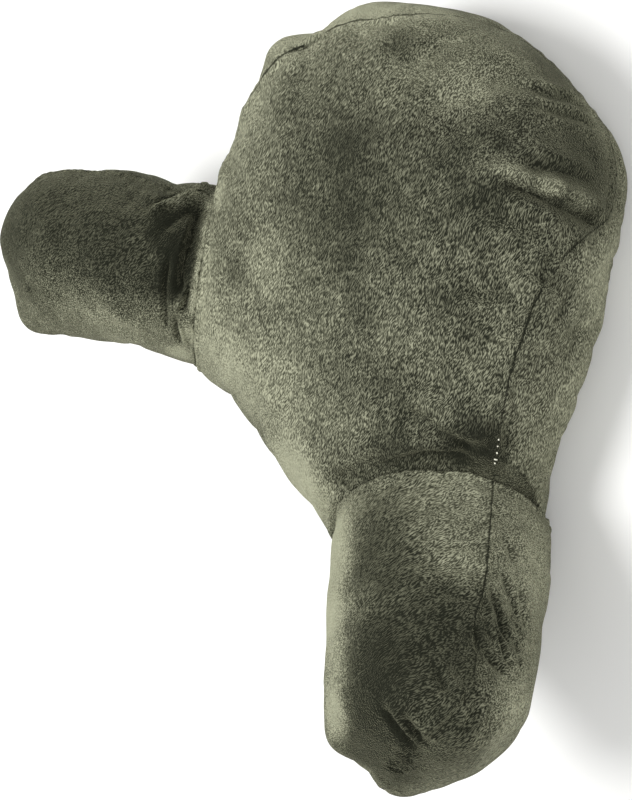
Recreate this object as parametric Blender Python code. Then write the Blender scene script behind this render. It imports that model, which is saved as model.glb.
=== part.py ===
"""Lumbar pillow with arms, in short plush: three filled cloth solids.

The pillow lies on its back, with the middle of its flat rear face at the origin. +Y points to the
rounded top of the back, +Z is the way its front faces, and the two arms spread to +X and
-X. The back is one taut cushion that narrows to a round neck at each lower corner. Each
arm is a stuffed sleeve of two panels, sewn to its neck by a ring seam, with a seam along
its head side that goes round the flattened end.
"""
import math

import bmesh
import bpy
from mathutils import Matrix, Vector

# Back cushion, metres
DOME_HALF_WIDTH = 0.200
DOME_CENTRE_X = -0.006
DOME_CENTRE_Y = 0.036
DOME_RISE = 0.202
DOME_POWER = 2.15
RIM_HEIGHT_TOP = 0.125
RIM_HEIGHT_BASE = 0.128
CROWN_RISE = 0.054
GROUND_SINK = 0.010

# Each level of the back is the rim outline drawn in and raised: its height is a share of the
# rim's height plus a share of the crown's rise.
BACK_LEVELS = (
    {"drawn_to": 0.85, "rim_share": 0.00, "crown_share": 0.00},
    {"drawn_to": 0.96, "rim_share": 0.22, "crown_share": 0.00},
    {"drawn_to": 1.00, "rim_share": 0.50, "crown_share": 0.00},
    {"drawn_to": 1.00, "rim_share": 0.85, "crown_share": 0.00},
    {"drawn_to": 0.97, "rim_share": 1.00, "crown_share": 0.25},
    {"drawn_to": 0.91, "rim_share": 1.00, "crown_share": 0.58},
    {"drawn_to": 0.79, "rim_share": 1.00, "crown_share": 0.82},
    {"drawn_to": 0.56, "rim_share": 1.00, "crown_share": 0.97},
    {"drawn_to": 0.28, "rim_share": 1.00, "crown_share": 1.00},
)
RIM_STEPS = 36

# Arms: one sleeve each side, the left one filled a little shorter and lifted a little more
ARMS = (
    {"name": "arm_right", "side": 1, "length": 0.246, "lift": 0.00},
    {"name": "arm_left", "side": -1, "length": 0.229, "lift": 0.02},
)

# The centre of the right ring seam, the way the right arm points, and the sleeve's sizes
RING_CENTRE = Vector((0.194, -0.166, 0.080))
ARM_DIRECTION = Vector((0.72, -0.305, 0.613))
RING_RADIUS = 0.100
NECK_RADIUS = 0.096
NECK_OVERRUN = 0.016
ARM_BULGE = 0.004
ARM_END_RADIUS = 0.090
ARM_CAP_LENGTH = 0.076
END_POWER_ALONG_SEAM = 3.0
END_POWER_ACROSS = 1.9
ARM_SIDES = 36
ARM_BODY_RINGS = 8
ARM_CAP_RINGS = 8
TIP_RING_SHARE = 0.35

# Cloth surface and joints
BACK_FACET = 0.0145
SMOOTHING_STEPS = 8
SMOOTHING_FACTOR = 0.5
SEAM_GAP = 0.0003
GROUND_CUTTER = 1.2
RING_CUTTER = 0.5

PLUSH_COLOUR = (0.105, 0.110, 0.078, 1.0)
ARM_COLOUR = (0.095, 0.100, 0.070, 1.0)
PLUSH_ROUGHNESS = 0.95


def clear_scene():
    for old in list(bpy.data.objects):
        bpy.data.objects.remove(old, do_unlink=True)


def plush(name, colour):
    material = bpy.data.materials.new(name)
    material.use_nodes = True
    shader = material.node_tree.nodes["Principled BSDF"]
    shader.inputs["Base Color"].default_value = colour
    shader.inputs["Roughness"].default_value = PLUSH_ROUGHNESS
    shader.inputs["Metallic"].default_value = 0.0
    return material


def new_object(name, bm, material):
    bmesh.ops.recalc_face_normals(bm, faces=bm.faces)
    mesh = bpy.data.meshes.new(name)
    bm.to_mesh(mesh)
    bm.free()
    mesh.shade_smooth()
    if material:
        mesh.materials.append(material)
    obj = bpy.data.objects.new(name, mesh)
    bpy.context.scene.collection.objects.link(obj)
    return obj


def mirrored(vector, side):
    return Vector((side * vector.x, vector.y, vector.z))


def arm_axes(row):
    """The arm's direction, the way to its seam on the head side, and the way across."""
    along = (mirrored(ARM_DIRECTION, row["side"]) + Vector((0, 0, row["lift"]))).normalized()
    to_seam = (Vector((0, 1, 0)) - along * along.y).normalized()
    across = along.cross(to_seam)
    return along, to_seam, across


def ring_points(centre, to_seam, across, seam_radius, cross_radius, count):
    points = []
    for step in range(count):
        angle = 2 * math.pi * step / count
        points.append(
            centre
            + to_seam * seam_radius * math.cos(angle)
            + across * cross_radius * math.sin(angle)
        )
    return points


def rim_outline():
    """The sewn rim of the back, from one ring seam over the rounded top to the other."""
    points = []
    for step in range(RIM_STEPS + 1):
        angle = math.pi * step / RIM_STEPS
        cosine = math.cos(angle)
        sine = abs(math.sin(angle))
        across = math.copysign(abs(cosine) ** (2 / DOME_POWER), cosine)
        x = DOME_CENTRE_X + across * DOME_HALF_WIDTH
        y = DOME_CENTRE_Y + sine ** (2 / DOME_POWER) * DOME_RISE
        points.append(Vector((x, y, RIM_HEIGHT_TOP)))
    for row in ARMS:
        seam_point = mirrored(RING_CENTRE, row["side"]) + arm_axes(row)[1] * RING_RADIUS
        seam_point.z = RIM_HEIGHT_BASE
        points.append(seam_point)
    return points


def back_cushion(material):
    """The hull of the levels and the two necks, remeshed, softened and cut flat.

    One cut leaves the flat rear face, and one at each ring seam leaves the neck's end.
    """
    centre = Vector((DOME_CENTRE_X, DOME_CENTRE_Y, 0))
    rim = rim_outline()
    bm = bmesh.new()
    for level in BACK_LEVELS:
        for point in rim:
            drawn_in = centre + (point - centre) * level["drawn_to"]
            height = point.z * level["rim_share"] + CROWN_RISE * level["crown_share"]
            bm.verts.new((drawn_in.x, drawn_in.y, height - GROUND_SINK))
    for row in ARMS:
        along, to_seam, across = arm_axes(row)
        neck_end = mirrored(RING_CENTRE, row["side"]) + along * NECK_OVERRUN
        for point in ring_points(neck_end, to_seam, across, NECK_RADIUS, NECK_RADIUS, ARM_SIDES):
            bm.verts.new(point)
    hull = bmesh.ops.convex_hull(bm, input=bm.verts)
    unused = [item for item in hull["geom_interior"] if isinstance(item, bmesh.types.BMVert)]
    bmesh.ops.delete(bm, geom=unused, context="VERTS")
    back = new_object("back_cushion", bm, material)

    facets = back.modifiers.new("taut cloth", "REMESH")
    facets.mode = "VOXEL"
    facets.voxel_size = BACK_FACET
    facets.use_smooth_shade = True
    soften = back.modifiers.new("soft edges", "SMOOTH")
    soften.factor = SMOOTHING_FACTOR
    soften.iterations = SMOOTHING_STEPS
    trim(back, "ground", GROUND_CUTTER, Matrix.Translation((0, 0, -GROUND_CUTTER / 2)))
    for row in ARMS:
        along, to_seam, across = arm_axes(row)
        turn = Matrix((across, to_seam, along)).transposed().to_4x4()
        middle = mirrored(RING_CENTRE, row["side"]) + along * (RING_CUTTER / 2)
        trim(back, row["name"] + " ring", RING_CUTTER, Matrix.Translation(middle) @ turn)
    return back


def trim(target, name, size, matrix):
    """Cuts the cushion flat with a hidden block."""
    bm = bmesh.new()
    bmesh.ops.create_cube(bm, size=size)
    cutter = new_object(name + " cutter", bm, None)
    cutter.matrix_world = matrix
    cutter.hide_render = True
    cutter.display_type = "WIRE"
    cut = target.modifiers.new(name, "BOOLEAN")
    cut.operation = "DIFFERENCE"
    cut.solver = "EXACT"
    cut.object = cutter


def arm_sections(length):
    """Each ring's distance along the arm, and its radius towards the seam and across.

    The end is flattened: its radius falls off late towards the seam and early across it.
    The last ring stops just short of the tip, which is one point.
    """
    sections = []
    body_length = length - ARM_CAP_LENGTH
    for step in range(ARM_BODY_RINGS + 1):
        share = step / ARM_BODY_RINGS
        radius = RING_RADIUS + (ARM_END_RADIUS - RING_RADIUS) * share
        radius += ARM_BULGE * math.sin(math.pi * share)
        sections.append((share * body_length, radius, radius))
    for step in range(1, ARM_CAP_RINGS + 1):
        share = math.sin(math.pi / 2 * step / (ARM_CAP_RINGS + TIP_RING_SHARE))
        along_seam = (1 - share ** END_POWER_ALONG_SEAM) ** (1 / END_POWER_ALONG_SEAM)
        across = (1 - share ** END_POWER_ACROSS) ** (1 / END_POWER_ACROSS)
        distance = body_length + ARM_CAP_LENGTH * share
        sections.append((distance, ARM_END_RADIUS * along_seam, ARM_END_RADIUS * across))
    return sections


def arm(row, material):
    along, to_seam, across = arm_axes(row)
    start = mirrored(RING_CENTRE, row["side"]) + along * SEAM_GAP
    bm = bmesh.new()
    rings = []
    for distance, seam_radius, cross_radius in arm_sections(row["length"]):
        centre = start + along * distance
        points = ring_points(centre, to_seam, across, seam_radius, cross_radius, ARM_SIDES)
        rings.append([bm.verts.new(point) for point in points])
    for near, far in zip(rings, rings[1:]):
        for step in range(ARM_SIDES):
            following = (step + 1) % ARM_SIDES
            bm.faces.new((near[step], near[following], far[following], far[step]))
    bm.faces.new(rings[0])
    tip = bm.verts.new(start + along * row["length"])
    for step in range(ARM_SIDES):
        bm.faces.new((rings[-1][step], rings[-1][(step + 1) % ARM_SIDES], tip))
    return new_object(row["name"], bm, material)


def main():
    clear_scene()
    back_plush = plush("Brushed plush", PLUSH_COLOUR)
    arm_plush = plush("Brushed plush, arms", ARM_COLOUR)
    back_cushion(back_plush)
    for row in ARMS:
        arm(row, arm_plush)


main()
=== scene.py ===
"""Lumbar pillow with two arms, in short brushed plush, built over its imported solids.

Each solid is copied, remeshed and filled by a short cloth simulation that is held at the
seams. The seams, puckers and folds are then pressed into the cloth along routes that are
named in tables, in metres. +Z is the way the pillow's front faces, +Y its rounded top.
"""
import math

import bmesh
import bpy
import numpy as np
from mathutils import Matrix, Vector, noise
from mathutils.bvhtree import BVHTree


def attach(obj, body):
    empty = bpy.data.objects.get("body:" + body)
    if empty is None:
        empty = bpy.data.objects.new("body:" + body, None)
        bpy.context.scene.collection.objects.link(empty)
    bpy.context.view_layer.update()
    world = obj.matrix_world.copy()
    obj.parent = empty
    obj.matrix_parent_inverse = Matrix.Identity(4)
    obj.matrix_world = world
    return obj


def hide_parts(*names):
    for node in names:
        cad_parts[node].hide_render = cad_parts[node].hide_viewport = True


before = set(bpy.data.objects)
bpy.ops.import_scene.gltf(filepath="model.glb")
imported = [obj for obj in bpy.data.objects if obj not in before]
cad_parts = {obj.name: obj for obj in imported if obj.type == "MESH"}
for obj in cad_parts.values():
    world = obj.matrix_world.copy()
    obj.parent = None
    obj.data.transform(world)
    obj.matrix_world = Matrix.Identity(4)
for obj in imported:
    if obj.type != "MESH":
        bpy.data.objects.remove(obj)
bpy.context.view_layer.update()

bl_info = {
    "name": "Lumbar Pillow with Arms",
    "version": (1, 0, 0),
    "blender": (4, 5, 0),
    "location": "3D View > Sidebar > Pillow",
    "description": "Builds a plush lumbar pillow with two stuffed arms over its solids",
    "category": "Object",
}

MM = 0.001
NEAR = 30 * MM  # how far from a seam the cloth takes part in it
FAR = 20 * MM  # the reach stored where no seam is near
OFF_SURFACE = 0.9  # how much of a gap straight through the cloth is left out of a distance
# Painted light and shade: a fold is painted lighter where it stands out and darker where it sinks in
FOLD_SHADE = 0.060  # how much lighter the pile is for each millimetre that a fold stands out
RING_CORE = 0.05  # nearer than this to an arm's axis there is no ring seam
RING_RADIUS = 0.13  # how far from the axis a ring seam reaches
THREAD = 1.5 * MM
FRAMES = 20  # steps of the cloth simulation
LUMP_SIZES = (0.055, 0.021)

# The pile's crimps are short dashes along the nap. The stretch says how finely they follow each
# other across the nap, along it and through the cloth, and their size is a share of the rib.
CRIMP_STRETCH = (1.0, 0.22, 0.80)
CRIMP_SIZE = 0.40

# What varies the pile: sizes in millimetres, and how much each one lightens and raises it
PILE_SIZE = {"bend": 22, "brushed": 50, "mottled": 12, "grain": 1.1}
PILE_LIGHT = {"crimps": 1.10, "brushed": 0.60, "mottled": 0.28, "grain": 0.30,
              "seam": -1.20, "ring": -0.80}
PILE_RELIEF = {"crimps": 2.2, "mottled": 1.5, "seam": -0.8}
PILE_MIDDLE = -0.115  # shifts the whole pile lighter or darker
DRAW_SHOWN = 2.2  # a seam's dark line is full from a draw of 1 over this


def table(columns, rows):
    """The rows as dictionaries, by the names of their columns."""
    return [dict(zip(columns.split(), row)) for row in rows]


# The seam that joins the front and rear panels of the back. Each row is a point of it, from
# the head side of the right arm's ring seam over the rounded top to the left arm's, and how
# strongly the cloth is drawn in there.
PERIMETER_SEAM = table("x y z draw", (
    (0.217, -0.070, 0.100, 0.30),
    (0.207, -0.018, 0.123, 0.22),
    (0.194, 0.023, 0.130, 0.35),
    (0.184, 0.060, 0.133, 0.80),
    (0.172, 0.110, 0.130, 1.10),
    (0.163, 0.146, 0.105, 1.10),
    (0.151, 0.166, 0.062, 0.50),
    (0.128, 0.189, 0.046, 0.30),
    (0.100, 0.208, 0.040, 0.40),
    (0.062, 0.224, 0.036, 0.40),
    (0.010, 0.236, 0.042, 0.50),
    (-0.045, 0.233, 0.080, 0.80),
    (-0.079, 0.216, 0.128, 0.90),
    (-0.120, 0.184, 0.142, 0.80),
    (-0.155, 0.142, 0.146, 0.90),
    (-0.178, 0.090, 0.142, 0.60),
    (-0.194, 0.030, 0.134, 0.60),
    (-0.207, -0.020, 0.123, 0.60),
    (-0.217, -0.070, 0.100, 0.70),
))

# The same seam along the foot side, between the two arms
FOOT_SEAM = table("x y z draw", (
    (0.171, -0.261, 0.062, 0.50),
    (0.135, -0.245, 0.075, 0.50),
    (0.064, -0.242, 0.080, 0.50),
    (-0.090, -0.242, 0.080, 0.50),
    (-0.171, -0.261, 0.062, 0.30),
))

# Seams along the arms: distance from the ring seam as a share of the arm's length, and the
# turn round the arm in degrees from its head side, the front of the arm being positive.
ARM_SEAMS = {
    "arm_right": table("share turn draw", (
        (0.00, 0, 0.35),
        (0.40, 1, 0.40),
        (0.56, 4, 0.45),
        (0.65, 1, 0.50),
        (0.76, 2, 0.15),
        (0.88, 12, 0.05),
        (0.96, 30, 0.10),
        (0.995, 90, 0.60),
        (0.94, 176, 0.70),
        (0.60, 180, 0.60),
        (0.00, 180, 0.50),
    )),
    "arm_left": table("share turn draw", (
        (0.00, 0, 0.60),
        (0.15, 2, 0.40),
        (0.25, 3, 0.60),
        (0.42, -6, 0.25),
        (0.70, -12, 0.20),
        (0.90, -14, 0.20),
        (0.995, -90, 0.40),
        (0.92, -178, 0.50),
        (0.60, -180, 0.50),
        (0.00, -180, 0.30),
    )),
}

# How strongly the ring seam of an arm is drawn in, by the turn round the arm in degrees
RING_DRAW = {
    "arm_right": table("turn draw", (
        (-180, 0.60), (-60, 0.45), (-15, 0.30), (12, 0.12), (75, 0.12), (105, 0.03), (180, 0.15),
    )),
    "arm_left": table("turn draw", (
        (-180, 0.00), (-60, 0.50), (0, 0.40), (62, 0.20), (92, 0.05), (120, 0.00), (180, 0.00),
    )),
}

# Pale stitches that show in the perimeter seam: where, which way they run, and millimetres long
STITCHES = table("at along length", (
    ((0.2100, -0.0260, 0.1210), (0.3, -0.9, -0.4), 2.2),
    ((0.2115, -0.0320, 0.1195), (0.1, -0.9, -0.4), 1.4),
    ((0.2135, -0.0385, 0.1175), (0.5, -0.6, -0.3), 2.4),
    ((0.2145, -0.0450, 0.1150), (0.9, 0.1, -0.5), 3.6),
    ((0.2150, -0.0500, 0.1125), (0.6, -0.5, -0.3), 2.2),
))

# Folds of the back. A row's push is how far the cloth stands out, or in where it is below 0,
# and its width is how far to each side the fold reaches, both in millimetres.
BACK_FOLDS = table("name push width route", (
    ("shoulder fold", -9.5, 7, (
        (0.094, 0.162, 0.157), (0.108, 0.168, 0.152), (0.123, 0.172, 0.141),
        (0.136, 0.172, 0.126), (0.150, 0.167, 0.094), (0.155, 0.162, 0.072))),
    ("shoulder ridge", 6, 9, (
        (0.080, 0.162, 0.160), (0.104, 0.178, 0.150), (0.121, 0.183, 0.137),
        (0.136, 0.182, 0.117), (0.147, 0.176, 0.090), (0.153, 0.168, 0.064))),
    ("below the shoulder", -4.5, 12, (
        (0.128, 0.145, 0.151), (0.146, 0.150, 0.138), (0.156, 0.144, 0.130))),
    ("shoulder cheek", 1.5, 8, (
        (0.120, 0.154, 0.152), (0.137, 0.161, 0.137), (0.150, 0.158, 0.120))),
    ("upper roll", 3.6, 8, (
        (0.088, 0.192, 0.144), (0.107, 0.199, 0.125), (0.118, 0.199, 0.104),
        (0.126, 0.194, 0.078))),
    ("upper hollow", -5, 8, (
        (0.098, 0.184, 0.147), (0.113, 0.190, 0.134), (0.122, 0.191, 0.112),
        (0.132, 0.188, 0.078))),
    ("first ripple", 3, 4.5, (
        (0.040, 0.226, 0.122), (0.053, 0.228, 0.101), (0.064, 0.227, 0.072),
        (0.074, 0.222, 0.054))),
    ("first ripple's hollow", -4, 4.5, (
        (0.052, 0.223, 0.118), (0.063, 0.225, 0.099), (0.072, 0.224, 0.072),
        (0.080, 0.220, 0.054))),
    ("second ripple", 2.8, 4.5, (
        (0.060, 0.219, 0.127), (0.073, 0.222, 0.097), (0.081, 0.221, 0.076),
        (0.089, 0.216, 0.057))),
    ("second ripple's hollow", -3.6, 4.5, (
        (0.068, 0.216, 0.126), (0.080, 0.219, 0.097), (0.088, 0.218, 0.076),
        (0.096, 0.212, 0.057))),
    ("third ripple", 2.4, 4.5, (
        (0.074, 0.213, 0.124), (0.087, 0.216, 0.102), (0.095, 0.214, 0.079),
        (0.103, 0.207, 0.055))),
    ("crease beside the seam", -4.5, 4, (
        (0.160, 0.139, 0.126), (0.165, 0.123, 0.131), (0.168, 0.112, 0.132))),
    ("ridge beside the seam", 3, 5, (
        (0.167, 0.141, 0.116), (0.171, 0.126, 0.124), (0.173, 0.112, 0.129))),
    ("crescent", -4.5, 6, (
        (0.120, 0.086, 0.163), (0.130, 0.078, 0.162), (0.146, 0.083, 0.158),
        (0.162, 0.094, 0.148))),
    ("diagonal crease", -5.5, 9, (
        (0.130, -0.055, 0.168), (0.152, -0.046, 0.165), (0.168, -0.044, 0.160),
        (0.190, -0.045, 0.144), (0.208, -0.050, 0.122))),
    ("diagonal roll", 3.5, 7, (
        (0.150, -0.072, 0.165), (0.166, -0.064, 0.160), (0.182, -0.058, 0.151),
        (0.196, -0.056, 0.135))),
    ("hollow above the right ring", -7, 15, (
        (0.118, -0.176, 0.160), (0.128, -0.146, 0.164), (0.146, -0.112, 0.162),
        (0.164, -0.086, 0.155), (0.187, -0.066, 0.141), (0.206, -0.058, 0.120))),
    ("side streak, upper", -3, 7, (
        (0.175, 0.125, 0.098), (0.183, 0.101, 0.102), (0.190, 0.078, 0.112))),
    ("side streak, lower", -2.5, 8, (
        (0.178, 0.120, 0.070), (0.192, 0.084, 0.076), (0.206, 0.046, 0.078))),
    ("hollow inside the left seam", -5, 7, (
        (-0.070, 0.212, 0.142), (-0.093, 0.200, 0.144), (-0.114, 0.183, 0.147))),
    ("left seam's fold", -7, 5, (
        (-0.146, 0.158, 0.142), (-0.157, 0.140, 0.145), (-0.166, 0.118, 0.148))),
))

# Wide swells and hollows of the back, millimetres out and a radius in millimetres
BACK_SWELLS = table("name push radius at", (
    ("rear panel past the left seam", 20, 31, (-0.183, 0.106, 0.132)),
    ("rear panel below that", 10.5, 36, (-0.197, 0.045, 0.130)),
    ("notch beside the bulge", -9, 16, (-0.176, 0.158, 0.116)),
    ("top of the left seam", 5, 26, (-0.140, 0.183, 0.118)),
    ("top, above the floor", 1.5, 30, (-0.006, 0.235, 0.036)),
    ("shoulder, above the floor", 9, 46, (0.116, 0.190, 0.024)),
    ("under the shoulder", -2.5, 24, (0.164, 0.118, 0.014)),
    ("side panel", 3, 44, (0.198, 0.045, 0.030)),
    ("waist by the right arm", -5, 50, (0.240, -0.050, 0.040)),
    ("foot corner by the right arm", 4, 20, (0.114, -0.247, 0.112)),
    ("middle of the foot side", -9.5, 62, (-0.050, -0.238, 0.118)),
))

# Folds of the arms: shares of the arm's length and turns in degrees, as for their seams
ARM_FOLDS = {
    "arm_right": table("name push width route", (
        ("pocket", -6, 4, (
            (0.58, 3), (0.63, 1), (0.68, -3))),
        ("long outer crease", -7, 3.5, (
            (0.43, -3), (0.49, -9), (0.55, -15), (0.60, -23))),
        ("outer roll", 4, 4, (
            (0.47, -1), (0.54, -6), (0.61, -12), (0.67, -20))),
        ("second outer crease", -6, 3.5, (
            (0.36, -7), (0.40, -14), (0.45, -22), (0.49, -28))),
        ("third outer crease", -5, 3, (
            (0.64, -3), (0.68, -11), (0.71, -22))),
        ("fourth outer crease", -5, 2.6, (
            (0.53, -4), (0.58, -12), (0.64, -19), (0.68, -27))),
        ("fifth outer crease", -4, 2.6, (
            (0.46, -20), (0.52, -27), (0.58, -33))),
        ("sixth outer crease", -2.6, 2.4, (
            (0.56, -22), (0.61, -29), (0.68, -34))),
        ("short outer crease", -3.5, 3.5, (
            (0.21, -7), (0.27, -14), (0.31, -19))),
        ("edge crease", -4, 3.5, (
            (0.35, -22), (0.42, -27), (0.50, -33))),
        ("end fold", -7, 4.5, (
            (0.862, 56), (0.907, 52), (0.939, 47), (0.963, 40), (0.980, 32))),
        ("end fold's ridge", 3.5, 5, (
            (0.870, 50), (0.911, 45), (0.947, 39), (0.967, 31))),
        ("second end fold", -6, 4, (
            (0.902, 41), (0.931, 37), (0.951, 32), (0.972, 22))),
        ("second end fold's ridge", 4, 3.5, (
            (0.885, 37), (0.918, 33), (0.939, 27), (0.957, 18), (0.967, 8))),
        ("short ridge at the tip", 3, 3.5, (
            (0.963, 52), (0.980, 45), (0.988, 37))),
        ("hollow below that", -4, 4, (
            (0.967, 60), (0.984, 54), (0.992, 47))),
        ("upper end fold", -4.5, 5, (
            (0.764, 23), (0.809, 18), (0.841, 14))),
        ("upper end ridge", 3, 5, (
            (0.748, 18), (0.790, 13), (0.822, 8))),
        ("tip light fold", 3, 3.5, (
            (0.972, 94), (0.988, 91), (0.995, 98))),
        ("hollow at the tip", -4, 3.5, (
            (0.976, 108), (0.990, 116), (0.995, 140))),
    )),
    "arm_left": table("name push width route", (
        ("recess by the ring", -11, 9, (
            (0.070, 8), (0.082, 25), (0.080, 43), (0.078, 56), (0.080, 67), (0.070, 80))),
        ("rib in the recess", 3.5, 3, (
            (0.105, 20), (0.109, 29), (0.109, 38), (0.118, 46), (0.122, 54))),
        ("pit under the ridge", -6, 10, (
            (0.100, 12), (0.135, 22), (0.165, 29), (0.190, 35), (0.215, 42))),
        ("ridge from the seam", 10, 4.5, (
            (0.060, -12), (0.087, -5), (0.122, 2), (0.153, 10), (0.205, 18), (0.262, 26),
            (0.310, 33))),
        ("valley above the ridge", -6, 3.5, (
            (0.144, 4), (0.214, 12), (0.293, 21))),
        ("crease under the top edge", -5, 3.5, (
            (0.130, -3), (0.180, 2), (0.240, 1), (0.300, -3))),
        ("upright crease", -5.5, 3.5, (
            (0.157, 52), (0.157, 65), (0.153, 74), (0.140, 90), (0.131, 103))),
        ("flap edge", 6, 3, (
            (0.057, 64), (0.070, 75), (0.087, 83), (0.100, 89))),
        ("behind the flap", -6, 3, (
            (0.045, 70), (0.052, 80), (0.056, 88))),
        ("lower crease", -7, 3.5, (
            (0.098, 88), (0.088, 99), (0.078, 107), (0.062, 115))),
        ("lower ridge", 5, 3, (
            (0.079, 92), (0.066, 101), (0.052, 108), (0.039, 113))),
        ("underside roll", 3.5, 9, (
            (0.42, 92), (0.32, 101), (0.21, 106))),
        ("upper end dent", -3, 10, (
            (0.78, 40), (0.86, 62))),
        ("lower end dent", -2.5, 8, (
            (0.84, 88), (0.78, 102))),
    )),
}

ARM_SWELLS = {
    "arm_right": table("name push radius share turn", (
        ("outer side by the ring", 8, 38, 0.12, -54),
        ("foot side by the ring", 3.5, 22, 0.14, 98),
        ("foot side", -4, 36, 0.52, 122),
        ("underside corner", 10, 24, 0.85, 130),
        ("below the corner", -6, 18, 0.95, 148),
        ("lowest tip", 8, 24, 0.955, -173),
        ("outer end", -6, 36, 0.88, -62),
    )),
    "arm_left": table("name push radius share turn", (
        ("foot side by the ring", -15, 38, 0.28, 144),
        ("foot side, outer part", 5, 24, 0.72, 142),
        ("end corner", 9, 24, 0.84, 148),
        ("above the end corner", -9, 20, 0.93, 116),
        ("head side", 6, 45, 0.54, -21),
        ("end", 7, 28, 0.98, 66),
        ("head side by the ring", -7, 24, 0.24, -25),
    )),
}

# Places where the pile is lighter or darker: partly where it was brushed the other way, and partly
# painted light on rims and crests and painted shade on sides and hollows that the light leaves dark. A
# shade below 0 is darker
BACK_NAP_AND_PAINTED_LIGHT = table("shade radius at", (
    # Painted shade on the upper right side and its rim
    (-0.35, 70, (0.090, 0.175, 0.150)),
    (-0.90, 40, (0.132, 0.187, 0.081)),
    (-0.25, 30, (0.100, 0.210, 0.088)),
    (-0.50, 36, (0.035, 0.233, 0.062)),
    (0.43, 28, (0.022, 0.201, 0.154)),
    (-0.25, 22, (0.085, 0.148, 0.163)),
    # Painted light along the crest of the shoulder ridge
    (0.55, 14, (0.106, 0.177, 0.149)),
    (0.70, 14, (0.127, 0.182, 0.128)),
    (0.60, 14, (0.143, 0.178, 0.098)),
    (0.20, 18, (0.138, 0.152, 0.138)),
    (0.60, 16, (-0.171, -0.036, 0.160)),
    (0.20, 22, (-0.083, 0.098, 0.168)),
    (0.30, 20, (0.067, 0.224, 0.052)),
    (0.15, 22, (-0.035, -0.090, 0.168)),
    (0.68, 46, (-0.186, 0.136, 0.142)),
    (0.52, 50, (-0.198, 0.045, 0.136)),
    (0.60, 24, (-0.066, 0.227, 0.105)),
    (0.60, 28, (-0.122, 0.193, 0.125)),
    (0.12, 50, (-0.090, 0.165, 0.160)),
    (0.70, 26, (-0.145, 0.176, 0.128)),
    (-0.40, 20, (-0.060, 0.200, 0.150)),
    (0.60, 34, (-0.090, 0.212, 0.125)),
    (-0.08, 50, (-0.114, 0.094, 0.165)),
    (-0.35, 90, (-0.020, 0.085, 0.170)),
    (-0.35, 24, (-0.043, 0.099, 0.169)),
    (-0.30, 26, (-0.010, 0.060, 0.170)),
    (-0.35, 22, (0.062, 0.002, 0.171)),
    (-0.15, 40, (0.080, -0.050, 0.171)),
    (-0.20, 30, (0.060, 0.232, 0.070)),
    (-0.30, 20, (0.018, 0.022, 0.172)),
    (-0.40, 15, (-0.092, -0.076, 0.168)),
    (0.34, 36, (-0.060, -0.045, 0.169)),
    (0.14, 40, (0.085, 0.012, 0.171)),
    (-0.30, 22, (0.115, 0.063, 0.165)),
    (-0.30, 18, (0.150, 0.050, 0.160)),
    (-0.25, 28, (0.120, -0.040, 0.168)),
    (-0.20, 16, (0.162, 0.133, 0.130)),
    (-0.10, 24, (0.199, 0.067, 0.075)),
    # Painted light on the left rim beside the left arm's ring
    (0.35, 36, (-0.165, -0.095, 0.157)),
    (0.35, 24, (-0.207, -0.030, 0.122)),
    (0.22, 40, (-0.125, 0.010, 0.168)),
    (0.20, 28, (-0.029, 0.179, 0.162)),
    (0.35, 16, (0.081, 0.168, 0.159)),
    (0.14, 50, (0.103, -0.090, 0.168)),
    (0.40, 20, (0.185, -0.041, 0.152)),
    # Painted light on the lower rim along the foot side
    (0.58, 80, (-0.128, -0.175, 0.156)),
    (0.55, 50, (-0.035, -0.170, 0.162)),
    (0.35, 46, (0.020, -0.125, 0.167)),
    (1.25, 52, (0.075, -0.208, 0.150)),
    # Painted shade in the hollow beside the right arm's ring
    (-1.25, 31, (0.198, -0.045, 0.133)),
    # Painted light on the side panel's rims
    (0.26, 60, (0.225, 0.000, 0.040)),
    (0.45, 44, (0.182, 0.112, 0.040)),
    # Painted shade in the hollow above the right arm's ring
    (-0.45, 30, (0.148, -0.088, 0.163)),
))
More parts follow.
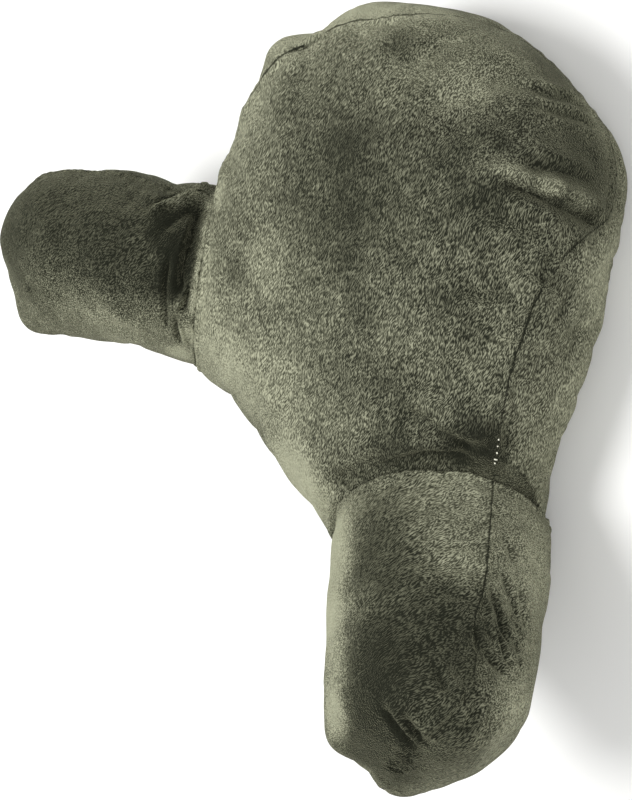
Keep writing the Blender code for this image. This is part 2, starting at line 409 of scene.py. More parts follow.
# The arms' places, by share and turn, likewise brushed pile together with painted light and painted
# shade
ARM_NAP_AND_PAINTED_LIGHT = {
    "arm_right": table("shade radius share turn", (
        (-0.55, 62, 0.68, 30),
        (-0.10, 80, 0.52, 56),
        # Painted light on the right arm's left and foot rims, where light grazes
        (0.85, 36, 0.18, 108),
        (0.80, 38, 0.46, 112),
        (0.60, 24, 0.12, 92),
        (0.75, 26, 0.30, 92),
        (0.60, 26, 0.50, 92),
        (0.60, 26, 0.70, 94),
        (1.20, 24, 0.84, 104),
        (0.30, 60, 0.25, -26),
        (0.40, 40, 0.84, -34),
        (-0.30, 28, 0.20, 62),
        (-0.40, 30, 0.36, 60),
        (-0.38, 30, 0.70, 60),
        # Painted shade on the right arm's end, turned away from the lamp
        (-1.35, 40, 0.95, 82),
        (-0.35, 30, 0.84, 62),
        (-1.00, 34, 0.975, 122),
        (-0.45, 40, 0.96, -10),
        (-0.30, 34, 0.56, -12),
        (0.40, 27, 0.34, 20),
        (0.45, 40, 0.05, 18),
        (0.35, 26, 0.50, 96),
    )),
    "arm_left": table("shade radius share turn", (
        (-0.66, 90, 0.50, 32),
        (-0.50, 44, 0.92, 20),
        (-0.45, 34, 0.94, 66),
        (-0.25, 26, 0.86, 100),
        # Painted shadow in the left arm's recess under the back's bulge, with painted light on the crest
        # of the ridge from the seam
        (-1.20, 20, 0.18, 38),
        (0.55, 10, 0.13, 4),
        (0.55, 10, 0.20, 17),
        (-1.00, 16, 0.10, 24),
        (-1.20, 24, 0.11, 45),
        (-0.70, 20, 0.10, 68),
        # Painted highlight: a bright band along the left arm's ring seam, standing in for the back's lit
        # rim that overhangs it
        (0.95, 12, 0.010, 0),
        (1.10, 12, 0.010, 12),
        (1.25, 12, 0.010, 24),
        (1.30, 12, 0.010, 35),
        (1.30, 12, 0.010, 46),
        (1.25, 12, 0.010, 57),
        (1.10, 12, 0.010, 68),
        (0.90, 12, 0.010, 79),
        (0.90, 14, 0.030, 102),
        (0.90, 18, 0.080, 124),
        # More painted shadow in the recess
        (-0.60, 20, 0.15, 70),
        (0.25, 40, 0.35, 118),
        (0.28, 34, 0.52, 96),
    )),
}


class PillowShape(bpy.types.PropertyGroup):
    """Sizes of the cloth work."""
    back_voxel: bpy.props.FloatProperty(
        name="Back remesh", description="Edge length of the back's cloth before it is subdivided",
        default=5.6 * MM, min=4 * MM, unit="LENGTH")
    arm_voxel: bpy.props.FloatProperty(
        name="Arm remesh", description="Edge length of the arms' cloth before it is subdivided",
        default=3.9 * MM, min=3 * MM, unit="LENGTH")
    pressure: bpy.props.FloatProperty(
        name="Filling pressure", description="How hard the filling presses on the cloth",
        default=4.0, min=0.0)
    cap: bpy.props.FloatProperty(
        name="Swell limit", description="How far the filling may move the cloth",
        default=9.0 * MM, unit="LENGTH")
    slack: bpy.props.FloatProperty(
        name="Cloth to spare", description="How much more cloth there is than surface",
        default=0.02, subtype="FACTOR")
    seam_depth: bpy.props.FloatProperty(
        name="Seam depth", description="How deep the seams are drawn into the cloth",
        default=3.0 * MM, unit="LENGTH")
    pucker: bpy.props.FloatProperty(
        name="Pucker height", description="Height of the small ripples along the seams",
        default=1.2 * MM, unit="LENGTH")
    ring_square: bpy.props.FloatProperty(
        name="Ring fullness", description="How full the cloth stays beside a ring seam",
        default=3.6 * MM, unit="LENGTH")
    lump: bpy.props.FloatProperty(
        name="Filling lumps", description="Height of the uneven filling under the cloth",
        default=3.0 * MM, unit="LENGTH")


class PillowPlush(bpy.types.PropertyGroup):
    """Colours and texture of the plush."""
    # The dark end of the colours also stands for painted shade in troughs and hollows, and the light end
    # for painted light on rims and crests
    dark: bpy.props.StringProperty(
        name="Pile against the light", description="sRGB hex of the darkest brushed pile",
        default="1D1F16")
    middle: bpy.props.StringProperty(
        name="Pile", description="sRGB hex of the pile as it mostly lies", default="575848")
    light: bpy.props.StringProperty(
        name="Pile towards the light", description="sRGB hex of the lightest brushed pile",
        default="A2A38B")
    rib: bpy.props.FloatProperty(
        name="Pile rib spacing", description="Spacing of the knitted ribs that the pile follows",
        default=2.1 * MM, unit="LENGTH")
    sheen: bpy.props.FloatProperty(
        name="Sheen", description="How much the pile tips light up at a grazing angle",
        default=0.35, subtype="FACTOR")
    thread: bpy.props.StringProperty(
        name="Thread", description="sRGB hex of the stitches that show", default="D8D6C4")


class PillowStage(bpy.types.PropertyGroup):
    """Floor, lights and lens."""
    floor: bpy.props.StringProperty(
        name="Floor", description="sRGB hex of the floor", default="F4F4F2")
    floor_size: bpy.props.FloatProperty(
        name="Floor size", description="Edge length of the floor", default=14.0, unit="LENGTH")
    key: bpy.props.FloatProperty(
        name="Key light", description="Power of the large lamp overhead", default=44.0, unit="POWER")
    fill: bpy.props.FloatProperty(
        name="Fill light", description="Power of the lamp beside the camera", default=16.0, unit="POWER")
    sky: bpy.props.FloatProperty(
        name="Room light", description="Strength of the even light all round", default=0.58)
    lens: bpy.props.FloatProperty(
        name="Lens", description="Focal length in millimetres on a 36 mm frame", default=56.83)


def linear(hex_colour):
    """An sRGB hex colour as a linear colour with full alpha."""
    parts = []
    for start in (0, 2, 4):
        value = int(hex_colour[start:start + 2], 16) / 255
        parts.append(value / 12.92 if value <= 0.04045 else ((value + 0.055) / 1.055) ** 2.4)
    return (*parts, 1.0)


def add_node(tree, kind, inputs=None, **settings):
    """Adds a node, sets its options, and sets or links its inputs."""
    new = tree.nodes.new(kind)
    for option, value in settings.items():
        setattr(new, option, value)
    for name, value in (inputs or {}).items():
        if isinstance(value, bpy.types.NodeSocket):
            tree.links.new(value, new.inputs[name])
        else:
            new.inputs[name].default_value = value
    return new


def read_points(mesh):
    values = np.empty(len(mesh.vertices) * 3)
    mesh.vertices.foreach_get("co", values)
    return values.reshape(-1, 3)


def read_normals(mesh):
    values = np.empty(len(mesh.vertices) * 3)
    mesh.vertices.foreach_get("normal", values)
    return values.reshape(-1, 3)


def write_points(mesh, points):
    mesh.vertices.foreach_set("co", points.astype(np.float32).ravel())
    mesh.update()


def evaluated_mesh(obj):
    graph = bpy.context.evaluated_depsgraph_get()
    graph.update()
    return bpy.data.meshes.new_from_object(obj.evaluated_get(graph))


def replace_mesh(obj, mesh):
    old = obj.data
    obj.modifiers.clear()
    obj.data = mesh
    bpy.data.meshes.remove(old)


def ring_face(node):
    """Centre and inward direction of an arm's flat ring face, its largest flat facet."""
    facets = {}
    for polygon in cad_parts[node].data.polygons:
        key = tuple(round(part, 2) for part in polygon.normal)
        facets.setdefault(key, []).append(polygon)
    flat = max(facets.values(), key=lambda group: sum(face.area for face in group))
    area = sum(face.area for face in flat)
    centre = sum((face.center * face.area for face in flat), Vector()) / area
    return centre, -flat[0].normal.normalized()


class ArmPlace:
    """Where an arm is: its ring centre, its direction, the ways to its seam and across."""

    def __init__(self, node):
        self.centre, self.along = ring_face(node)
        self.to_seam = (Vector((0, 1, 0)) - self.along * self.along.y).normalized()
        self.across = self.along.cross(self.to_seam)
        if self.across.z < 0:
            self.across = -self.across
        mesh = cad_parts[node].data
        self.length = max((v.co - self.centre).dot(self.along) for v in mesh.vertices)
        self.tree = BVHTree.FromObject(
            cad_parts[node], bpy.context.evaluated_depsgraph_get())
        self.ring = RING_DRAW[node]

    def point(self, share, turn):
        """The point of the arm's surface at a share of its length and a turn in degrees."""
        start = self.centre + self.along * self.length * min(max(share, 0.004), 0.996)
        angle = math.radians(turn)
        outward = self.to_seam * math.cos(angle) + self.across * math.sin(angle)
        hit = self.tree.ray_cast(start, outward)[0]
        return hit if hit else start

    def height(self, points):
        """How far each point lies past the ring seam, along the arm."""
        return (points - np.array(self.centre)) @ np.array(self.along)

    def radius(self, points):
        """How far each point lies from the arm's axis."""
        offset = points - np.array(self.centre)
        along = np.array(self.along)
        return np.linalg.norm(offset - np.outer(offset @ along, along), axis=1)

    def ring_draw(self, points):
        """How strongly the ring seam is drawn in at each point's turn round the arm."""
        offset = points - np.array(self.centre)
        turn = np.degrees(np.arctan2(offset @ np.array(self.across), offset @ np.array(self.to_seam)))
        return np.interp(
            turn, [row["turn"] for row in self.ring], [row["draw"] for row in self.ring])


ARMS = {"arm_right": ArmPlace("arm_right"), "arm_left": ArmPlace("arm_left")}


class Route:
    """A smooth curve on the cloth, and how strongly the cloth is drawn in along it."""

    def __init__(self, rows, draws=None, spacing=4 * MM):
        draws = draws or [1.0] * len(rows)
        rows = [np.array((*point, draw)) for point, draw in zip(rows, draws)]
        ends = [rows[0] * 2 - rows[1]] + rows + [rows[-1] * 2 - rows[-2]]
        curve = []
        for before, start, end, after in zip(ends, ends[1:], ends[2:], ends[3:]):
            steps = max(2, round(np.linalg.norm((end - start)[:3]) / spacing))
            for t in np.arange(steps) / steps:
                curve.append(0.5 * (
                    2 * start + (end - before) * t
                    + (2 * before - 5 * start + 4 * end - after) * t ** 2
                    + (3 * start - before - 3 * end + after) * t ** 3))
        curve.append(rows[-1])
        self.points = np.array(curve)[:, :3]
        self.draws = np.array(curve)[:, 3]

    def lay(self, tree):
        """Moves the curve onto the surface."""
        self.points = np.array([tuple(tree.find_nearest(Vector(p))[0]) for p in self.points])
        steps = np.linalg.norm(np.diff(self.points, axis=0), axis=1)
        self.stations = np.concatenate(([0.0], np.cumsum(steps)))

    def near(self, points, normals, within=NEAR):
        """Each point's distance from the curve, place along it, draw there and gap from it."""
        line = self.points
        reach = np.full(len(points), 1.0)
        place = np.zeros(len(points))
        close = np.nonzero(np.all(
            (points > line.min(axis=0) - within) & (points < line.max(axis=0) + within), axis=1))[0]
        best = np.full(len(close), np.inf)
        along = np.zeros(len(close))
        ways = np.full((len(points), 3), NEAR)
        way = np.full((len(close), 3), NEAR)
        for index, length in enumerate(np.diff(self.stations)):
            if length < 1e-9:
                continue
            direction = (line[index + 1] - line[index]) / length
            share = np.clip((points[close] - line[index]) @ direction, 0, length)
            gap = points[close] - line[index] - share[:, None] * direction
            off_surface = np.sum(gap * normals[close], axis=1)
            distance = np.sum(gap * gap, axis=1) - OFF_SURFACE * off_surface ** 2
            closer = distance < best
            best[closer] = distance[closer]
            along[closer] = self.stations[index] + share[closer]
            way[closer] = (gap - off_surface[:, None] * normals[close])[closer]
        reach[close] = np.sqrt(np.maximum(best, 0))
        place[close] = along
        ways[close] = way
        return reach, place, np.interp(place, self.stations, self.draws), ways


def fold_push(points, normals, route, push, width):
    """A soft ridge or trough along a route, fading at its two ends."""
    reach, place = route.near(points, normals, 5 * width)[:2]
    total = route.stations[-1]
    crest = np.exp(-reach / (0.6 * width))
    body = np.exp(-(reach / width) ** 2)
    fade = min(0.3 * total, 18 * MM)
    ends = np.clip(np.minimum(place, total - place) / fade, 0, 1)
    ends = ends * ends * (3 - 2 * ends)
    left_at_ends = 0.15
    return push * (0.55 * crest + 0.45 * body) * (left_at_ends + (1 - left_at_ends) * ends)


def seam_push(points, normals, route, shape, seed):
    """A drawn-in seam with small uneven ripples running away from it."""
    reach, place, draw = route.near(points, normals)[:3]
    stitched = np.exp(-(reach / (2.8 * MM)) ** 2)
    drawn = np.exp(-(reach / (10 * MM)) ** 2)
    groove = 0.62 * stitched + 0.38 * drawn
    ripple_length = 9 * MM
    ripple = np.zeros(len(points))
    for index in np.nonzero(reach < NEAR)[0]:
        ripple[index] = noise.noise(Vector((place[index] / ripple_length, 3.7 * seed, 0.5)))
    away = np.exp(-((reach - 8 * MM) / (9 * MM)) ** 2)
    return draw * (2.0 * shape.pucker * ripple * away - shape.seam_depth * groove)


def ring_push(points, place, shape):
    """The ring seam of an arm: drawn in where its draw is 1, and squared off where it is 0."""
    draw = place.ring_draw(points)
    height = np.abs(place.height(points))
    on_ring = np.clip((place.radius(points) - RING_CORE) / (20 * MM), 0, 1)
    depth = shape.ring_square * (1 - draw) - shape.seam_depth * draw
    return depth * np.exp(-(height / (6 * MM)) ** 2) * on_ring


def lumps(points, size, seed):
    """A smooth uneven field from -1 to 1 with lumps of the given size."""
    offset = Vector((seed * 7.3, seed * 3.1, seed * 5.7))
    return np.array([noise.noise(Vector(point) / size + offset) for point in points])


def cloth_copy(node, name, voxel):
    """The solid's surface as even cloth, a little smaller than the solid."""
    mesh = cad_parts[node].data.copy()
    mesh.name = name
    mesh.materials.clear()
    piece = bpy.data.objects.new(name, mesh)
    bpy.context.scene.collection.objects.link(piece)
    remesh = piece.modifiers.new("even cloth", "REMESH")
    remesh.mode = "VOXEL"
    remesh.voxel_size = voxel
    soften = piece.modifiers.new("soft", "SMOOTH")
    soften.factor = 0.5
    soften.iterations = 8
    replace_mesh(piece, evaluated_mesh(piece))
    return piece


def fill_cloth(piece, held, settings):
    """Fills the cloth under pressure, held at its seams, and keeps the capped result."""
    rest = read_points(piece.data)
    sunk = 0.35 * settings.cap
    start = rest - read_normals(piece.data) * sunk
    start[held] = rest[held]
    write_points(piece.data, start)
    group = piece.vertex_groups.new(name="seams")
    group.add([int(index) for index in np.nonzero(held)[0]], 1.0, "REPLACE")
    cloth = piece.modifiers.new("filling", "CLOTH")
    cloth.settings.quality = 4
    cloth.settings.mass = 0.3
    cloth.settings.tension_stiffness = 20
    cloth.settings.compression_stiffness = 20
    cloth.settings.shear_stiffness = 8
    cloth.settings.bending_stiffness = 0.6
    cloth.settings.use_pressure = True
    cloth.settings.uniform_pressure_force = settings.pressure
    cloth.settings.shrink_min = -settings.slack
    cloth.settings.vertex_group_mass = group.name
    cloth.settings.effector_weights.gravity = 0
    cloth.point_cache.frame_start = 1
    cloth.point_cache.frame_end = FRAMES
    scene = bpy.context.scene
    for number in range(1, FRAMES + 1):
        scene.frame_set(number)
    filled = evaluated_mesh(piece)
    moved = read_points(filled) - start
    distance = np.linalg.norm(moved, axis=1)
    limit = settings.cap * np.tanh(distance / settings.cap)
    moved *= (limit / np.maximum(distance, 1e-9))[:, None]
    write_points(filled, start + moved)
    piece.vertex_groups.clear()
    replace_mesh(piece, filled)
    scene.frame_set(1)


def subdivide(piece):
    """Divides every face of the cloth once and smooths it."""
    fine = piece.modifiers.new("finer cloth", "SUBSURF")
    fine.levels = 1
    fine.render_levels = 1
    replace_mesh(piece, evaluated_mesh(piece))
    piece.data.shade_smooth()


def swell_push(points, swells, place=None):
    """How far the swells and hollows move each point outwards."""
    total = np.zeros(len(points))
    for row in swells:
        centre = row["at"] if place is None else place.point(row["share"], row["turn"])
        gap = np.linalg.norm(points - np.array(tuple(centre)), axis=1)
        total += row["push"] * MM * np.exp(-(gap / (row["radius"] * MM)) ** 2)
    return total


def nap_and_painted_light(points, rows, place=None):
    """How much lighter each point is made by the places, brushed pile with painted light and painted
    shade.
    """
    total = np.zeros(len(points))
    for index, row in enumerate(rows):
        centre = row["at"] if place is None else place.point(row["share"], row["turn"])
        gap = np.linalg.norm(points - np.array(tuple(centre)), axis=1) / (row["radius"] * MM)
        total += row["shade"] * np.exp(-gap ** 3)
    return total


def settle(points, place, side):
    """Keeps the cloth above the floor and on its own side of a ring seam."""
    height = place.height(points)
    margin = 0.15 * MM
    excess = np.maximum(height + margin, 0) if side < 0 else np.minimum(height - margin, 0)
    points = points - excess[:, None] * np.array(place.along)
    points[:, 2] = np.maximum(points[:, 2], 0.0)
    return points


def surface_tree(piece):
    graph = bpy.context.evaluated_depsgraph_get()
    graph.update()
    return BVHTree.FromObject(piece, graph)


def off_rear(points):
    """0 on the flat rear face, rising to 1 above it."""
    return np.clip((points[:, 2] - 2 * MM) / (8 * MM), 0, 1)


def lay_routes(routes, piece):
    tree = surface_tree(piece)
    for route in routes["seams"] + [route for row, route in routes["folds"]]:
        route.lay(tree)


def stuffed_cloth(node, voxel, swells, routes, shape, held_by, keep, place=None):
    """The solid's surface as cloth with its swells, held at its seams and filled."""
    piece = cloth_copy(node, "plush_" + node.replace("_cushion", ""), voxel)
    points = read_points(piece.data)
    push = swell_push(points, swells, place) * off_rear(points)
    write_points(piece.data, keep(points + read_normals(piece.data) * push[:, None]))
    lay_routes(routes, piece)
    points = read_points(piece.data)
    normals = read_normals(piece.data)
    held = held_by(points)
    for route in routes["seams"]:
        held |= route.near(points, normals)[0] < 0.8 * voxel
    fill_cloth(piece, held, shape)
    subdivide(piece)
    return piece


def press(piece, routes, shape, seed, keep):
    """Presses lumps and folds into the cloth, then its seams and puckers."""
    mesh = piece.data
    lay_routes(routes, piece)
    points = read_points(mesh)
    normals = read_normals(mesh)
    broad, small = [lumps(points, size, seed + i) for i, size in enumerate(LUMP_SIZES)]
    uneven = shape.lump * (broad + 0.35 * small)
    folds = np.zeros(len(points))
    for row, route in routes["folds"]:
        folds += fold_push(points, normals, route, row["push"] * MM, row["width"] * MM)
    points = points + normals * ((uneven + folds) * off_rear(points))[:, None]
    write_points(mesh, keep(points))

    lay_routes(routes, piece)
    points = read_points(mesh)
    normals = read_normals(mesh)
    seams = np.zeros(len(points))
    for index, route in enumerate(routes["seams"]):
        seams += seam_push(points, normals, route, shape, seed + index)
    for arm in routes["rings"]:
        seams += ring_push(points, arm, shape)
    points = points + normals * (seams * off_rear(points))[:, None]
    write_points(mesh, keep(points))
    # How far the folds stand out and sink in, with the seams' grooves, which become painted light on
    # crests and painted shade in troughs
    return folds + np.minimum(seams, 0)


def plush_material(name, nap_turn):
    """Short polyester plush, knitted and brushed: matt, with crimped pile and a pale grazing rim."""
    plush = bpy.context.scene.pillow_plush
    material = bpy.data.materials.new(name)
    material.use_nodes = True
    tree = material.node_tree
    shader = tree.nodes["Principled BSDF"]
    shader.inputs["Roughness"].default_value = 0.92
    shader.inputs["Specular IOR Level"].default_value = 0.12
    shader.inputs["Sheen Weight"].default_value = plush.sheen
    shader.inputs["Sheen Roughness"].default_value = 0.36
    shader.inputs["Sheen Tint"].default_value = linear("CBCBA8")

    def noise_of(vector, size, detail, distortion=0.0):
        return add_node(tree, "ShaderNodeTexNoise", {
            "Vector": vector, "Scale": 1 / size, "Detail": detail, "Roughness": 0.55,
            "Distortion": distortion}).outputs["Fac"]

    def weighted(value, weight, added):
        return add_node(tree, "ShaderNodeMath", {0: value, 1: weight, 2: added},
                        operation="MULTIPLY_ADD").outputs[0]

    def contrast(value, low, high):
        return add_node(tree, "ShaderNodeMapRange", {
            "Value": value, "From Min": low, "From Max": high}).outputs["Result"]

    def product(value, other, clamp=False):
        return add_node(tree, "ShaderNodeMath", {0: value, 1: other},
                        operation="MULTIPLY", use_clamp=clamp).outputs[0]

    def fading(value, start, end):
        return add_node(tree, "ShaderNodeMapRange", {
            "Value": value, "From Min": start, "From Max": end, "To Min": 1.0,
            "To Max": 0.0}, interpolation_type="SMOOTHSTEP").outputs["Result"]

    def attribute(name):
        return add_node(tree, "ShaderNodeAttribute", attribute_name=name).outputs["Fac"]

    place = add_node(tree, "ShaderNodeTexCoord").outputs["Object"]
    turned = add_node(tree, "ShaderNodeMapping", {"Vector": place, "Rotation": nap_turn})
    turned = turned.outputs["Vector"]
    wander = add_node(tree, "ShaderNodeTexNoise", {
        "Vector": turned, "Scale": 1 / (PILE_SIZE["bend"] * MM), "Detail": 1.0})
    bent = add_node(tree, "ShaderNodeVectorMath", {
        0: wander.outputs["Color"], 1: (7 * MM,) * 3, 2: turned},
        operation="MULTIPLY_ADD").outputs["Vector"]
    dashes = add_node(tree, "ShaderNodeVectorMath", {0: bent, 1: CRIMP_STRETCH},
                      operation="MULTIPLY").outputs["Vector"]
    crimps = noise_of(dashes, CRIMP_SIZE * plush.rib, 0.0)
    brushed = noise_of(turned, PILE_SIZE["brushed"] * MM, 3.0, 0.6)
    mottled = noise_of(turned, PILE_SIZE["mottled"] * MM, 3.0)
    grain = noise_of(place, PILE_SIZE["grain"] * MM, 1.0)
    shade = attribute("NapAndPaintedLight")
    way = add_node(tree, "ShaderNodeAttribute", attribute_name="SeamGap").outputs["Vector"]
    aside = add_node(tree, "ShaderNodeVectorMath", {0: way}, operation="LENGTH").outputs["Value"]
    beside = fading(attribute("SeamReach"), 5 * MM, 8 * MM)
    strength = product(product(attribute("SeamDraw"), DRAW_SHOWN, clamp=True), beside)
    seam_line = product(fading(aside, 0.3 * MM, 1.4 * MM), strength)
    ring_line = product(fading(attribute("RingReach"), 0.5 * MM, 3.0 * MM),
                        product(attribute("RingDraw"), DRAW_SHOWN, clamp=True))

    # The pile starts from its painted light and shade, stored on the cloth, and the brushed places
    level = shade
    for source, name in ((contrast(crimps, 0.34, 0.66), "crimps"), (brushed, "brushed"),
                         (contrast(mottled, 0.3, 0.7), "mottled"), (grain, "grain"),
                         (seam_line, "seam"), (ring_line, "ring")):
        level = weighted(source, PILE_LIGHT[name], level)
    colours = add_node(tree, "ShaderNodeValToRGB", {"Fac": weighted(level, 0.5, PILE_MIDDLE)})
    ramp = colours.color_ramp
    ramp.elements[0].position = 0.14
    ramp.elements[0].color = linear(plush.dark)
    ramp.elements[1].position = 0.92
    ramp.elements[1].color = linear(plush.light)
    middle = ramp.elements.new(0.50)
    middle.color = linear(plush.middle)
    tree.links.new(colours.outputs["Color"], shader.inputs["Base Color"])

    pile = grain
    for source, name in ((crimps, "crimps"), (mottled, "mottled"), (seam_line, "seam")):
        pile = weighted(source, PILE_RELIEF[name], pile)
    bump = add_node(tree, "ShaderNodeBump", {
        "Height": pile, "Distance": 1.0 * MM, "Strength": 1.0})
    tree.links.new(bump.outputs["Normal"], shader.inputs["Normal"])
    return material


def mark(mesh, name, values):
    """Stores a number for each point, for the material to read."""
    attribute = mesh.attributes.new(name, "FLOAT", "POINT")
    attribute.data.foreach_set("value", values.astype(np.float32))


def finish_cloth(piece, shade, routes, material, node):
    points = read_points(piece.data)
    normals = read_normals(piece.data)
    reach = np.full(len(points), FAR)
    drawn = np.zeros(len(points))
    gaps = np.full((len(points), 3), NEAR)
    for route in routes["seams"]:
        found, _, draw, ways = route.near(points, normals)
        drawn = np.where(found < reach, draw, drawn)
        gaps[found < reach] = ways[found < reach]
        reach = np.minimum(reach, found)
    ring = np.full(len(points), FAR)
    ring_drawn = np.zeros(len(points))
    for place in routes["rings"]:
        height = np.abs(place.height(points))
        height[place.radius(points) < RING_CORE] = FAR
        ring_drawn = np.where(height < ring, place.ring_draw(points), ring_drawn)
        ring = np.minimum(ring, height)
    mark(piece.data, "NapAndPaintedLight", shade)
    mark(piece.data, "SeamReach", reach)
    gap = piece.data.attributes.new("SeamGap", "FLOAT_VECTOR", "POINT")
    gap.data.foreach_set("vector", gaps.astype(np.float32).ravel())
    mark(piece.data, "SeamDraw", drawn)
    mark(piece.data, "RingReach", ring)
    mark(piece.data, "RingDraw", ring_drawn)
    piece.data.materials.clear()
    piece.data.materials.append(material)
    piece.data.shade_smooth()
    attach(piece, "root")
    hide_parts(node)


class PILLOW_OT_back(bpy.types.Operator):
    """Builds the stuffed back cushion with its perimeter seam and folds"""
    bl_idname = "pillow.back"
    bl_label = "Back Cushion"

    def execute(self, context):
        shape = context.scene.pillow_shape
        seams = []
        for rows in (PERIMETER_SEAM, FOOT_SEAM):
            places = [(row["x"], row["y"], row["z"]) for row in rows]
            seams.append(Route(places, [row["draw"] for row in rows]))
        folds = [(row, Route(row["route"])) for row in BACK_FOLDS]
        routes = {"folds": folds, "seams": seams, "rings": list(ARMS.values())}

        def held_by(points):
            held = points[:, 2] < 3 * MM
            for arm in ARMS.values():
                at_ring = arm.height(points) > -0.7 * shape.back_voxel
                held |= at_ring & (arm.radius(points) < RING_RADIUS)
            return held

        def keep(points):
            for arm in ARMS.values():
                points = settle(points, arm, -1)
            return points

        piece = stuffed_cloth(
            "back_cushion", shape.back_voxel, BACK_SWELLS, routes, shape, held_by, keep)
        depth = press(piece, routes, shape, 3, keep)
        # Painted shade in the folds' and seams' troughs, painted light on their crests, and the places'
        # brushed pile with painted light and shade
        shade = FOLD_SHADE * depth / MM + nap_and_painted_light(read_points(piece.data), BACK_NAP_AND_PAINTED_LIGHT)
        material = plush_material("Brushed plush, back", (0.0, 0.0, math.radians(-8)))
        finish_cloth(piece, shade, routes, material, "back_cushion")
        return {"FINISHED"}


class PILLOW_OT_arms(bpy.types.Operator):
    """Builds the two stuffed arms with their seams, gathers and end folds"""
    bl_idname = "pillow.arms"
    bl_label = "Arms"

    def execute(self, context):
        shape = context.scene.pillow_shape
        for seed, (node, place) in enumerate(ARMS.items()):
            rows = ARM_SEAMS[node]
            seam = Route([place.point(row["share"], row["turn"]) for row in rows],
                         [row["draw"] for row in rows])
            folds = []
            for row in ARM_FOLDS[node]:
                folds.append((row, Route([place.point(*at) for at in row["route"]])))
            routes = {"folds": folds, "seams": [seam], "rings": [place]}

            def held_by(points):
                return place.height(points) < 0.8 * shape.arm_voxel

            def keep(points):
                return settle(points, place, 1)

            piece = stuffed_cloth(node, shape.arm_voxel, ARM_SWELLS[node], routes, shape,
                                  held_by, keep, place)
            depth = press(piece, routes, shape, 11 + 5 * seed, keep)
            # brushed holds the places' brushed pile together with their painted light on rims and
            # painted shadow in the recesses
            brushed = nap_and_painted_light(read_points(piece.data), ARM_NAP_AND_PAINTED_LIGHT[node], place)
            nap = (place.along + place.across - place.to_seam).normalized()
            side = (place.along * 2 + place.to_seam - place.across).normalized()
            turn = Matrix((side, nap, side.cross(nap))).to_euler()
            material = plush_material("Brushed plush, " + node.replace("_", " "), turn)
            finish_cloth(piece, FOLD_SHADE * depth / MM + brushed, routes, material, node)
        return {"FINISHED"}


class PILLOW_OT_stitches(bpy.types.Operator):
    """Adds the few pale stitches that show in the perimeter seam beside the right arm"""
    bl_idname = "pillow.stitches"
    bl_label = "Stitches"

    def execute(self, context):
        cloth = bpy.data.objects["plush_back"]
        tree = surface_tree(cloth)
        shapes = bmesh.new()
        for row in STITCHES:
            at, normal = tree.find_nearest(Vector(row["at"]))[:2]
            along = (Vector(row["along"]) - normal * Vector(row["along"]).dot(normal)).normalized()
            across = normal.cross(along)
            size = Matrix.Diagonal((row["length"] / 2 * MM, THREAD / 2, THREAD / 2, 1))
            turn = Matrix((along, across, normal)).transposed().to_4x4()
            place = Matrix.Translation(at + normal * 0.5 * MM)
            bmesh.ops.create_uvsphere(
                shapes, u_segments=12, v_segments=8, radius=1.0, matrix=place @ turn @ size)
        mesh = bpy.data.meshes.new("stitches")
        shapes.to_mesh(mesh)
        shapes.free()
        mesh.shade_smooth()
        material = bpy.data.materials.new("Polyester thread, undyed")
        material.use_nodes = True
        shader = material.node_tree.nodes["Principled BSDF"]
        shader.inputs["Base Color"].default_value = linear(context.scene.pillow_plush.thread)
        shader.inputs["Roughness"].default_value = 0.55
        mesh.materials.append(material)
        stitches = bpy.data.objects.new("stitches", mesh)
        context.scene.collection.objects.link(stitches)
        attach(stitches, "root")
        return {"FINISHED"}


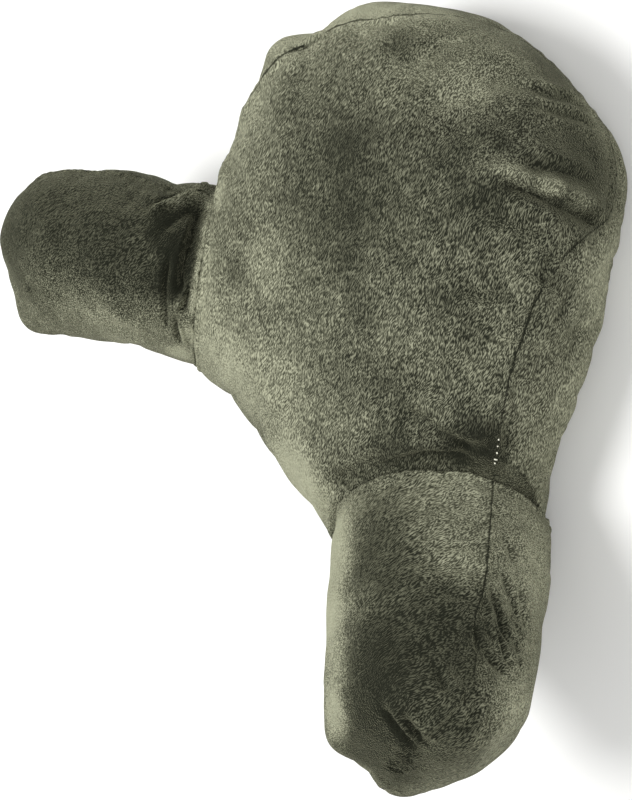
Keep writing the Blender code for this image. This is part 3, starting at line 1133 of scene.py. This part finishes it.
class PILLOW_OT_stage(bpy.types.Operator):
    """Adds the floor, the soft studio lights and the camera"""
    bl_idname = "pillow.stage"
    bl_label = "Floor, Lights and Camera"

    def execute(self, context):
        scene = context.scene
        stage = scene.pillow_stage
        mesh = bpy.data.meshes.new("floor")
        half = stage.floor_size / 2
        corners = [(-half, -half, 0), (half, -half, 0), (half, half, 0), (-half, half, 0)]
        mesh.from_pydata(corners, [], [(0, 1, 2, 3)])
        floor = bpy.data.objects.new("floor", mesh)
        scene.collection.objects.link(floor)
        paint = bpy.data.materials.new("Matt white board")
        paint.use_nodes = True
        paint.node_tree.nodes["Principled BSDF"].inputs["Base Color"].default_value = linear(stage.floor)
        paint.node_tree.nodes["Principled BSDF"].inputs["Roughness"].default_value = 0.9
        mesh.materials.append(paint)

        aim = Vector((0.0413, -0.1261, 0.1456))
        self.lamp("key", Vector((-0.67, -0.43, 2.08)), aim, 1.2, stage.key)
        self.lamp("fill", Vector((1.3, 0.9, 1.3)), aim, 1.6, stage.fill)

        world = bpy.data.worlds.new("room")
        world.use_nodes = True
        world.node_tree.nodes["Background"].inputs["Color"].default_value = (1, 1, 1, 1)
        world.node_tree.nodes["Background"].inputs["Strength"].default_value = stage.sky
        scene.world = world
        scene.view_settings.view_transform = "Standard"

        camera = bpy.data.objects.new("camera", bpy.data.cameras.new("camera"))
        camera.data.lens = stage.lens
        camera.data.sensor_width = 36.0
        position = Vector((0.5957, 0.5171, 1.0001))
        up = Vector((-0.6627, 0.7383, -0.1258))
        backward = (position - aim).normalized()
        right = up.cross(backward).normalized()
        up = backward.cross(right)
        camera.matrix_world = Matrix.Translation(position) @ Matrix(
            (right, up, backward)).transposed().to_4x4()
        scene.collection.objects.link(camera)
        scene.camera = camera
        return {"FINISHED"}

    def lamp(self, name, position, aim, size, power):
        light = bpy.data.lights.new(name, "AREA")
        light.shape = "DISK"
        light.size = size
        light.energy = power
        holder = bpy.data.objects.new(name, light)
        holder.location = position
        holder.rotation_euler = (position - aim).to_track_quat("Z", "Y").to_euler()
        bpy.context.scene.collection.objects.link(holder)


class VIEW3D_PT_pillow(bpy.types.Panel):
    """Lists the pillow's operators and settings"""
    bl_label = "Lumbar Pillow"
    bl_idname = "VIEW3D_PT_pillow"
    bl_space_type = "VIEW_3D"
    bl_region_type = "UI"
    bl_category = "Pillow"

    def draw(self, context):
        for operator in OPERATORS:
            self.layout.operator(operator.bl_idname)
        for group in (context.scene.pillow_shape, context.scene.pillow_plush,
                      context.scene.pillow_stage):
            box = self.layout.box()
            for name in group.__annotations__:
                box.prop(group, name)


GROUPS = {
    "pillow_shape": PillowShape,
    "pillow_plush": PillowPlush,
    "pillow_stage": PillowStage,
}
OPERATORS = (PILLOW_OT_back, PILLOW_OT_arms, PILLOW_OT_stitches, PILLOW_OT_stage)


def register():
    for name, group in GROUPS.items():
        bpy.utils.register_class(group)
        setattr(bpy.types.Scene, name, bpy.props.PointerProperty(type=group))
    for operator in OPERATORS:
        bpy.utils.register_class(operator)
    bpy.utils.register_class(VIEW3D_PT_pillow)


def unregister():
    bpy.utils.unregister_class(VIEW3D_PT_pillow)
    for operator in reversed(OPERATORS):
        bpy.utils.unregister_class(operator)
    for name, group in GROUPS.items():
        delattr(bpy.types.Scene, name)
        bpy.utils.unregister_class(group)


def main():
    register()
    bpy.ops.pillow.back()
    bpy.ops.pillow.arms()
    bpy.ops.pillow.stitches()
    bpy.ops.pillow.stage()


if __name__ == "__main__":
    main()
